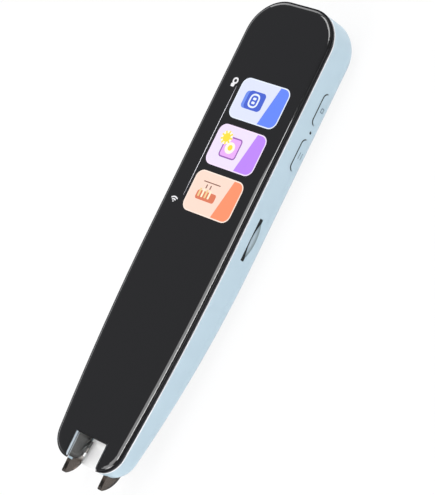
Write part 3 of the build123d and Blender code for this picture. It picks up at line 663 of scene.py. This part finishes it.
cardLook = {
    "size": (18.1, 12.5),
    "corner": 2.5,
    "rim": 0.35,
    "bandTop": 5.0,  # right of the card's middle
    "bandBottom": 2.35,
}
cardPlaces = {"first": (1.55, 42.15), "second": (1.3, 27.6), "third": (1.15, 13.15)}
cardColours = {
    "first": {"pale": (0.71, 0.75, 0.90), "band": (0.135, 0.245, 0.90), "rim": (0.80, 0.86, 0.98)},
    "second": {"pale": (0.83, 0.73, 0.90), "band": (0.50, 0.24, 0.95), "rim": (0.90, 0.76, 0.98)},
    "third": {"pale": (0.95, 0.69, 0.58), "band": (0.92, 0.29, 0.15), "rim": (0.98, 0.80, 0.70)},
}


def makeCard(which):
    centre = cardPlaces[which]
    colours = cardColours[which]
    run, rise = cardLook["bandTop"] - cardLook["bandBottom"], cardLook["size"][1]
    length = math.hypot(run, rise)
    toRight = (rise / length, -run / length)
    toLeft = (-toRight[0], -toRight[1])
    point = ((cardLook["bandTop"] + cardLook["bandBottom"]) / 2, 0)
    inner = [side - 2 * cardLook["rim"] for side in cardLook["size"]]
    innerCorner = cardLook["corner"] - cardLook["rim"]
    pale = screenColour("card_pale_" + which, colours["pale"])
    band = screenColour("card_band_" + which, colours["band"])
    rim = screenColour("card_rim_" + which, colours["rim"])
    roundedPlate("card_" + which + "_rim", centre, cardLook["size"], cardLook["corner"], rim, 1)
    roundedPlate("card_" + which + "_face", centre, inner, innerCorner, pale, 2, cut=(point, toLeft))
    roundedPlate("card_" + which + "_band", centre, inner, innerCorner, band, 2, cut=(point, toRight))


def shifted(place, shift):
    return (place[0] + shift[0], place[1] + shift[1])


def signPlate(name, origin, look, material):
    centre = shifted(origin, look["place"])
    roundedPlate(name, centre, look["size"], look["corner"], material, look["layer"])


def signDisc(name, origin, look, material):
    piece = startRound(look["radius"], look["sides"])
    layOnGlass(piece, name, material, shifted(origin, look["place"]), look["layer"])


def signRow(name, count, origin, look, materials):
    # the same plate several times, side by side
    for number in range(count):
        place = shifted(look["place"], (look["spacing"] * number, 0))
        plate = {**look, "place": place}
        signPlate(name + str(number), origin, plate, materials[number % len(materials)])


# a key with a ring on it; the places in a sign are from its own middle
keySign = {
    "offset": (-2.2, 0.15),  # from the card's middle
    "shade": {"place": (-0.4, -0.15), "size": (7.0, 5.3), "corner": 1.2, "layer": 3},
    "key": {"place": (0.35, 0), "size": (6.4, 5.6), "corner": 1.2, "layer": 4},
    "ring": {"size": (3.6, 4.3), "corner": 1.5, "width": 0.55, "layer": 5},
    "barUpper": {"place": (0, 0.6), "size": (1.2, 0.75), "corner": 0.3, "layer": 5},
    "barLower": {"place": (0, -0.6), "size": (1.2, 0.75), "corner": 0.3, "layer": 5},
    "blue": (0.07, 0.13, 0.62),
    "lightBlue": (0.16, 0.27, 0.82),
    "white": (0.80, 0.86, 0.98),
}


def makeKeySign():
    origin = shifted(cardPlaces["first"], keySign["offset"])
    blue = screenColour("sign_blue", keySign["blue"])
    lighter = screenColour("sign_light_blue", keySign["lightBlue"])
    white = screenColour("sign_white", keySign["white"])
    signPlate("sign_key_shade", origin, keySign["shade"], lighter)
    signPlate("sign_key", origin, keySign["key"], blue)
    roundedRing("sign_ring", origin, material=white, **keySign["ring"])
    signPlate("sign_bar_upper", origin, keySign["barUpper"], white)
    signPlate("sign_bar_lower", origin, keySign["barLower"], white)


# a framed picture with a sun at its corner
pictureSign = {
    "offset": (-2.1, -0.05),
    "picture": {"place": (0, 0), "size": (6.3, 6.3), "corner": 1.0, "layer": 3},
    "frame": {"size": (6.4, 6.4), "corner": 1.05, "width": 0.4, "layer": 4},
    "glow": {"place": (-0.2, -0.1), "radius": 1.75, "layer": 5, "sides": 28},
    "dot": {"place": (-0.15, 0), "radius": 0.85, "layer": 6, "sides": 28},
    "sunGlow": {"place": (-2.95, 2.5), "radius": 2.1, "layer": 5, "sides": 10},
    "sun": {"place": (-2.95, 2.5), "radius": 1.35, "layer": 6, "sides": 28},
    "rays": {"count": 9, "length": 0.75, "width": 0.55, "corner": 0.2, "layer": 6},
    "violet": (0.30, 0.11, 0.45),
    "pink": (0.80, 0.42, 0.90),
    "cream": (0.98, 0.93, 0.80),
    "yellow": (0.93, 0.72, 0.06),
}


def makeRays(centre, material):
    rays = pictureSign["rays"]
    reach = pictureSign["sun"]["radius"] + rays["length"] / 2
    for ray in range(rays["count"]):
        angle = 2 * math.pi * ray / rays["count"]
        place = shifted(centre, (reach * math.cos(angle), reach * math.sin(angle)))
        size = (rays["length"], rays["width"])
        roundedPlate("sign_ray_" + str(ray), place, size, rays["corner"], material, rays["layer"], angle)


def makePictureSign():
    origin = shifted(cardPlaces["second"], pictureSign["offset"])
    violet = screenColour("sign_violet", pictureSign["violet"])
    pink = screenColour("sign_pink", pictureSign["pink"])
    cream = screenColour("sign_cream", pictureSign["cream"])
    yellow = screenColour("sign_yellow", pictureSign["yellow"])
    signPlate("sign_picture", origin, pictureSign["picture"], pink)
    roundedRing("sign_frame", origin, material=violet, **pictureSign["frame"])
    signDisc("sign_glow", origin, pictureSign["glow"], cream)
    signDisc("sign_dot", origin, pictureSign["dot"], yellow)
    signDisc("sign_sun_glow", origin, pictureSign["sunGlow"], cream)
    signDisc("sign_sun", origin, pictureSign["sun"], yellow)
    makeRays(shifted(origin, pictureSign["sun"]["place"]), yellow)


# a row of counters over a tray
counterSign = {
    "offset": (-2.4, -0.75),
    "tray": {"place": (0, -0.1), "size": (7.2, 2.7), "corner": 0.7, "layer": 3},
    "shelf": {"place": (0.2, 4.0), "size": (6.4, 0.3), "corner": 0.1, "layer": 3},
    "counter": {"place": (-2.7, 0.6), "spacing": 1.25, "size": (0.65, 2.5), "corner": 0.2, "layer": 4},
    "peg": {"place": (-1.2, 2.7), "spacing": 1.5, "size": (0.4, 1.2), "corner": 0.1, "layer": 3},
    "counters": 4,
    "pegs": 2,
    "red": (0.70, 0.20, 0.11),
    "brown": (0.22, 0.10, 0.07),
    "gold": (0.85, 0.62, 0.30),
    "cream": (0.98, 0.86, 0.62),
}


def makeCounterSign():
    origin = shifted(cardPlaces["third"], counterSign["offset"])
    red = screenColour("sign_red", counterSign["red"])
    brown = screenColour("sign_brown", counterSign["brown"])
    gold = screenColour("sign_gold", counterSign["gold"])
    cream = screenColour("sign_pale_cream", counterSign["cream"])
    signPlate("sign_tray", origin, counterSign["tray"], red)
    signPlate("sign_shelf", origin, counterSign["shelf"], brown)
    signRow("sign_counter_", counterSign["counters"], origin, counterSign["counter"], (gold, cream))
    signRow("sign_peg_", counterSign["pegs"], origin, counterSign["peg"], (brown,))


statusLook = {
    "white": (0.85, 0.85, 0.87),
    "layer": 1,
    "ring": {"centre": (-10.2, 46.3), "size": (2.0, 2.0), "corner": 0.95, "width": 0.5},
    "body": {"centre": (-10.55, 44.95), "size": (1.3, 1.1), "corner": 0.3},
    "signal": {
        "centre": (-11.45, 7.7),
        "radii": (0.45, 1.15, 1.85),
        "width": 0.4,
        "opening": 100,  # degrees, round the +Y direction
        "sides": 48,
    },
}
# the line beside the cards, which is dim at both ends
lineLook = {
    "x": -8.95,
    "start": 10.7,
    "end": 44.9,
    "width": 0.16,
    "corner": 0.05,
    "brightFrom": 19.0,
    "brightTo": 37.0,
    "dim": (0.16, 0.16, 0.18),
    "bright": (0.62, 0.62, 0.66),
    "glow": 0.5,
}


def fadingLine():
    material, shader = newMaterial("fadingLine")
    place = along(material, "Y")
    rising = step(material, place, lineLook["start"], lineLook["brightFrom"])
    falling = step(material, place, lineLook["end"], lineLook["brightTo"])
    share = combine(material, "MULTIPLY", rising, falling)
    tone = blend(material, share, lineLook["dim"], lineLook["bright"])
    join(material, tone, shader.inputs["Base Color"])
    join(material, tone, shader.inputs["Emission Color"])
    shader.inputs["Emission Strength"].default_value = lineLook["glow"]
    return material


def arc(name, radius, material):
    # part of a ring, round the +Y direction
    signal = statusLook["signal"]
    piece = startRound(radius, signal["sides"])
    openMiddle(signal["width"])
    bpy.ops.mesh.select_all(action="DESELECT")
    bpy.ops.object.mode_set(mode="OBJECT")
    for vertex in piece.data.vertices:
        angle = math.degrees(math.atan2(vertex.co.x, vertex.co.y))
        vertex.select = abs(angle) > signal["opening"] / 2
    bpy.ops.object.mode_set(mode="EDIT")
    bpy.ops.mesh.delete(type="VERT")
    layOnGlass(piece, name, material, signal["centre"], statusLook["layer"])


def makeStatusBar():
    grey = fadingLine()
    white = screenColour("status_white", statusLook["white"])
    layer = statusLook["layer"]
    middle = (lineLook["x"], (lineLook["start"] + lineLook["end"]) / 2)
    size = (lineLook["width"], lineLook["end"] - lineLook["start"])
    roundedPlate("status_line", middle, size, lineLook["corner"], grey, layer)
    roundedRing("status_charge_ring", material=white, layer=layer, **statusLook["ring"])
    roundedPlate("status_charge_body", material=white, layer=layer, **statusLook["body"])
    for number, radius in enumerate(statusLook["signal"]["radii"]):
        arc("status_signal_" + str(number), radius, white)


for which in cardPlaces:
    makeCard(which)
makeKeySign()
makePictureSign()
makeCounterSign()
makeStatusBar()
print("screen pieces made")


def surfaceProxy(names):
    # a passing copy of the surfaces that thin pieces are laid on
    deselectAll()
    for name in names:
        copy = nodes[name].copy()
        copy.data = nodes[name].data.copy()
        bpy.context.scene.collection.objects.link(copy)
        copy.select_set(True)
        bpy.context.view_layer.objects.active = copy
    bpy.ops.object.join()
    return bpy.context.object


def selectOnly(piece):
    deselectAll()
    piece.select_set(True)
    bpy.context.view_layer.objects.active = piece


sideLay = {
    "from": 18,  # clear of the side wall, mm
    "lift": 0.02,
    "thickness": 0.02,
}


def layOnSide(piece, name, material, body, centre, surfaces):
    # a flat ring or plate, turned to face +X and pressed on the surfaces of these nodes
    bpy.ops.object.mode_set(mode="OBJECT")
    proxy = surfaceProxy(surfaces)
    selectOnly(piece)
    settle(piece, mm(sideLay["from"], *centre), (0, math.radians(90), 0))
    wrap = piece.modifiers.new("wrap", "SHRINKWRAP")
    wrap.target = proxy
    wrap.wrap_method = "PROJECT"
    wrap.use_project_x = True
    wrap.use_positive_direction = False
    wrap.use_negative_direction = True
    wrap.offset = sideLay["lift"] * millimetre
    bpy.ops.object.modifier_apply(modifier="wrap")
    solid = piece.modifiers.new("solid", "SOLIDIFY")
    solid.thickness = sideLay["thickness"] * millimetre
    solid.offset = 1
    bpy.ops.object.modifier_apply(modifier="solid")
    bpy.data.objects.remove(proxy)
    dress(piece, name, material)
    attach(piece, body)


buttonLook = {
    "size": (9.6, 3.1),  # length and height of a cap
    "height": 5.1,
    "places": {"power_button": 47.359, "select_button": 33.309},
}
# painted shadow in the gap round a cap: a dark ring, wider than the real gap, dark on its upper side
# where light from above leaves the gap in shade, and the housing's colour below
gapLook = {
    "inside": 0.2,  # it starts over the cap's edge
    "width": 0.42,
    "endSpare": 0.01,  # keeps the two rounded corners of an end apart
    "segments": 10,
    "darkFrom": 5.0,  # dark above this height
    "darkTo": 5.9,
    "shadow": ((0.012, 0.020, 0.024), (0.022, 0.034, 0.040)),
    "shadowSpeckleScale": 1500,
    "roughness": 0.6,
}


def gapShade():
    material, shader = newMaterial("gapShade")
    shadowSpeckle = noise(material, placeOnPiece(material), gapLook["shadowSpeckleScale"])
    # painted shadow: dark above darkFrom, the housing's colour below darkTo
    dark = step(material, along(material, "Z"), gapLook["darkFrom"], gapLook["darkTo"])
    shadow = ramp(material, shadowSpeckle, *gapLook["shadow"])
    join(material, blend(material, dark, housingLook["colour"], shadow), shader.inputs["Base Color"])
    shader.inputs["Roughness"].default_value = gapLook["roughness"]
    return material


def makeButtonGap(name, material):
    length, height = buttonLook["size"]
    grow = gapLook["width"] - gapLook["inside"]
    size = mm(height + 2 * grow, length + 2 * grow)
    corner = size[0] / 2 - gapLook["endSpare"] * millimetre
    piece = startRounded(size, corner, gapLook["segments"])
    openMiddle(gapLook["width"])
    centre = (buttonLook["places"][name], buttonLook["height"])
    layOnSide(piece, name + "_gap_shade", material, "housing", centre, ["rear_housing", name])


markLook = {
    "height": 4.75,
    "square": {"size": (1.3, 1.5), "corner": 0.3, "line": 0.32},
    "bar": {"size": (0.26, 2.0), "corner": 0.08},
    "bars": {"low": -0.5, "high": 0.5},
}


def makeButtonMarks(material):
    square = markLook["square"]
    piece = startRounded(mm(*square["size"]), square["corner"] * millimetre)
    openMiddle(square["line"])
    centre = (buttonLook["places"]["power_button"], markLook["height"])
    layOnSide(piece, "power_mark", material, "power_button", centre, ["power_button"])
    bar = markLook["bar"]
    for which, rise in markLook["bars"].items():
        piece = startRounded(mm(*bar["size"]), bar["corner"] * millimetre)
        centre = (buttonLook["places"]["select_button"], markLook["height"] + rise)
        layOnSide(piece, "select_mark_" + which, material, "select_button", centre, ["select_button"])


micLook = {
    "place": 40.4,
    "face": 15.96,
    "radius": 0.47,
    "sides": 24,
    "thickness": 0.1,
    "sunk": 0.005,
}


def makeMicShade(material):
    piece = startRound(micLook["radius"], micLook["sides"])
    raisePlate(micLook["thickness"] * millimetre)
    place = mm(micLook["face"] - micLook["sunk"], micLook["place"], buttonLook["height"])
    settle(piece, place, (0, math.radians(90 + sideWall["draft"]), 0))
    dress(piece, "microphone_hole_shade", material)
    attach(piece, "housing")


slotLook = {
    "centre": (6.309, 7.55),
    "size": (12.7, 1.3),
    "depth": (0.1, 1.25),
    "scoopRadius": 21.6,
    "scoopLength": 12,
    "scoopSides": 256,
    "scoopDepth": 0.95,
    "scoopBottom": 6.9,
    "scoopTilt": 36.5,  # degrees
}


def makeScoopTool():
    # a round bar in the shape of the finger scoop, to cut the slot's dark inside along it
    radius = slotLook["scoopRadius"] * millimetre
    length = slotLook["scoopLength"] * millimetre
    deselectAll()
    bpy.ops.mesh.primitive_cylinder_add(vertices=slotLook["scoopSides"], radius=radius, depth=length)
    scoop = bpy.context.object
    bpy.ops.object.mode_set(mode="EDIT")
    bpy.ops.mesh.select_all(action="SELECT")
    bpy.ops.transform.translate(value=(radius, 0, 0))
    bpy.ops.object.mode_set(mode="OBJECT")
    bottom = slotLook["scoopBottom"]
    place = mm(wallAt(bottom) - slotLook["scoopDepth"], slotLook["centre"][0], bottom)
    settle(scoop, place, (0, math.radians(-slotLook["scoopTilt"]), 0))
    return scoop


def makeSlotShade(material):
    near, deep = slotLook["depth"]
    length, height = slotLook["size"]
    y, z = slotLook["centre"]
    piece = startBox((deep - near, length, height), (wallAt(z) - (near + deep) / 2, y, z))
    scoop = makeScoopTool()
    selectOnly(piece)
    cut = piece.modifiers.new("cut", "BOOLEAN")
    cut.object = scoop
    cut.operation = "DIFFERENCE"
    cut.solver = "EXACT"
    bpy.ops.object.modifier_apply(modifier="cut")
    bpy.data.objects.remove(scoop)
    dress(piece, "card_slot_shade", material)
    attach(piece, "housing")


linerLook = {
    "size": (0.28, 6.9, 0.62),
    "place": (6.15, -64.75, 12.19),  # and mirrored to the other side
    "corner": 0.05,
    "segments": 2,
}


def makeNotchLiner(side, material):
    x, y, z = linerLook["place"]
    piece = startBox(linerLook["size"], (side * x, y, z))
    rounding = piece.modifiers.new("round", "BEVEL")
    rounding.width = linerLook["corner"] * millimetre
    rounding.segments = linerLook["segments"]
    bpy.ops.object.modifier_apply(modifier="round")
    dress(piece, "notch_liner_" + ("left" if side < 0 else "right"), material)
    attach(piece, "housing")


for side in (-1, 1):
    makeNotchLiner(side, finishes["trim"])
shade = gapShade()
deepShade = mouldedPlastic("deepShade", (0.010, 0.014, 0.016), 0.7, mottle=0.15)
markPrint = mouldedPlastic("markPrint", (0.20, 0.28, 0.33), 0.45, mottle=0.05)
for name in buttonLook["places"]:
    makeButtonGap(name, shade)
makeButtonMarks(markPrint)
makeMicShade(deepShade)
makeSlotShade(deepShade)
print("side pieces made")


floorLook = {
    "size": 6.0,
    "colour": (0.80, 0.80, 0.81),
    "roughness": 0.9,
    "gloss": 0.1,
    "ownWhite": 0.9,  # the share of plain white where the camera or a reflection sees it
}


def floorPaper():
    material, shader = newMaterial("floorPaper")
    shader.inputs["Base Color"].default_value = (*floorLook["colour"], 1)
    shader.inputs["Roughness"].default_value = floorLook["roughness"]
    shader.inputs["Specular IOR Level"].default_value = floorLook["gloss"]
    white = addNode(material, "ShaderNodeEmission")
    white.inputs["Color"].default_value = (1, 1, 1, 1)
    white.inputs["Strength"].default_value = 1.0
    path = addNode(material, "ShaderNodeLightPath")
    seen = combine(material, "MAXIMUM", path.outputs["Is Camera Ray"], path.outputs["Is Glossy Ray"])
    seenOrThrough = combine(material, "MAXIMUM", seen, path.outputs["Is Transmission Ray"])
    share = combine(material, "MULTIPLY", seenOrThrough, floorLook["ownWhite"])
    mix = addNode(material, "ShaderNodeMixShader")
    join(material, share, mix.inputs[0])
    join(material, shader.outputs[0], mix.inputs[1])
    join(material, white.outputs[0], mix.inputs[2])
    output = material.node_tree.nodes["Material Output"]
    join(material, mix.outputs[0], output.inputs["Surface"])
    return material


def makeFloor():
    deselectAll()
    bpy.ops.mesh.primitive_plane_add(size=floorLook["size"])
    floor = bpy.context.object
    floor.name = "floor"
    floor.data.materials.append(floorPaper())


worldLook = {
    "colour": (0.95, 0.96, 1.0),
    "walls": 0.95,  # pale walls round the table
    "ceiling": 0.27,
    "wallTop": (0.35, 0.6),  # height of the change, as the sine of its angle
    "farSide": 0.2,  # the wall on the far side of the buttons is dark
    "farFrom": (-0.75, -0.35),
    "skirting": (0.16, 0.32),  # and pale again below this height
}


def makeWorld():
    world = bpy.data.worlds.new("studio")
    world.use_nodes = True
    background = world.node_tree.nodes["Background"]
    background.inputs["Color"].default_value = (*worldLook["colour"], 1)
    direction = addNode(world, "ShaderNodeTexCoord")
    parts = addNode(world, "ShaderNodeSeparateXYZ")
    join(world, direction.outputs["Generated"], parts.inputs["Vector"])
    across, up = parts.outputs["X"], parts.outputs["Z"]
    side = mapRange(world, across, worldLook["farFrom"], worldLook["farSide"], worldLook["walls"])
    low = mapRange(world, up, worldLook["skirting"], worldLook["walls"], 0)
    wall = combine(world, "MAXIMUM", side, low)
    strength = mapRange(world, up, worldLook["wallTop"], wall, worldLook["ceiling"])
    join(world, strength, background.inputs["Strength"])
    bpy.context.scene.world = world


def facing(place, aim):
    return (Vector(aim) - Vector(place)).to_track_quat("-Z", "Y").to_matrix().to_4x4()


def standAt(thing, place, turned, roll):
    # roll is about the thing's own axis, in degrees
    spin = Matrix.Rotation(math.radians(roll), 4, Vector((0, 0, 1)))
    thing.matrix_world = Matrix.Translation(place) @ turned @ spin
    bpy.context.scene.collection.objects.link(thing)


softboxes = {
    "overhead": {"place": (-0.31, -0.215, 0.8), "size": (0.38, 0.73), "power": 2.3, "flat": True},
    "overheadStrip": {"place": (-0.05, -0.013, 0.8), "size": (0.13, 0.375), "power": 1.7, "flat": True},
    "right": {"place": (0.85, 0.1, 0.16), "size": (0.5, 0.25), "power": 1.3},
    "front": {"place": (0.0, -0.6, 0.66), "size": (0.35, 0.3), "power": 3.0},
    "leftBack": {"place": (-0.62, 0.66, 0.27), "size": (0.5, 0.5), "power": 1.7},
    "behindHead": {"place": (-0.25, 0.59, 0.77), "size": (0.3, 0.55), "power": 2.6, "turn": 28},
}


def makeSoftbox(name, place, size, power, flat=False, turn=0):
    # a flat one hangs level, the others face the object
    light = bpy.data.lights.new(name, "AREA")
    light.shape = "RECTANGLE"
    light.size, light.size_y = size
    light.energy = power
    lamp = bpy.data.objects.new(name, light)
    turned = Matrix() if flat else facing(place, (0, 0, 0))
    standAt(lamp, place, turned, turn)


cameraLook = {
    "place": mm(384.83, -55.73, 448.69),
    "aim": mm(10.85, 0.25, 13.4),
    "roll": -57.61,  # degrees
    "lens": 153.64,
    "sensor": 36,
    "nearest": 0.01,
}


def makeCamera():
    data = bpy.data.cameras.new("camera")
    data.lens = cameraLook["lens"]
    data.sensor_width = cameraLook["sensor"]
    data.clip_start = cameraLook["nearest"]
    camera = bpy.data.objects.new("camera", data)
    turned = facing(cameraLook["place"], cameraLook["aim"])
    standAt(camera, cameraLook["place"], turned, cameraLook["roll"])
    bpy.context.scene.camera = camera


makeFloor()
makeWorld()
for name, look in softboxes.items():
    makeSoftbox(name, **look)
makeCamera()
bpy.context.scene.view_settings.view_transform = "Standard"
print("studio ready")
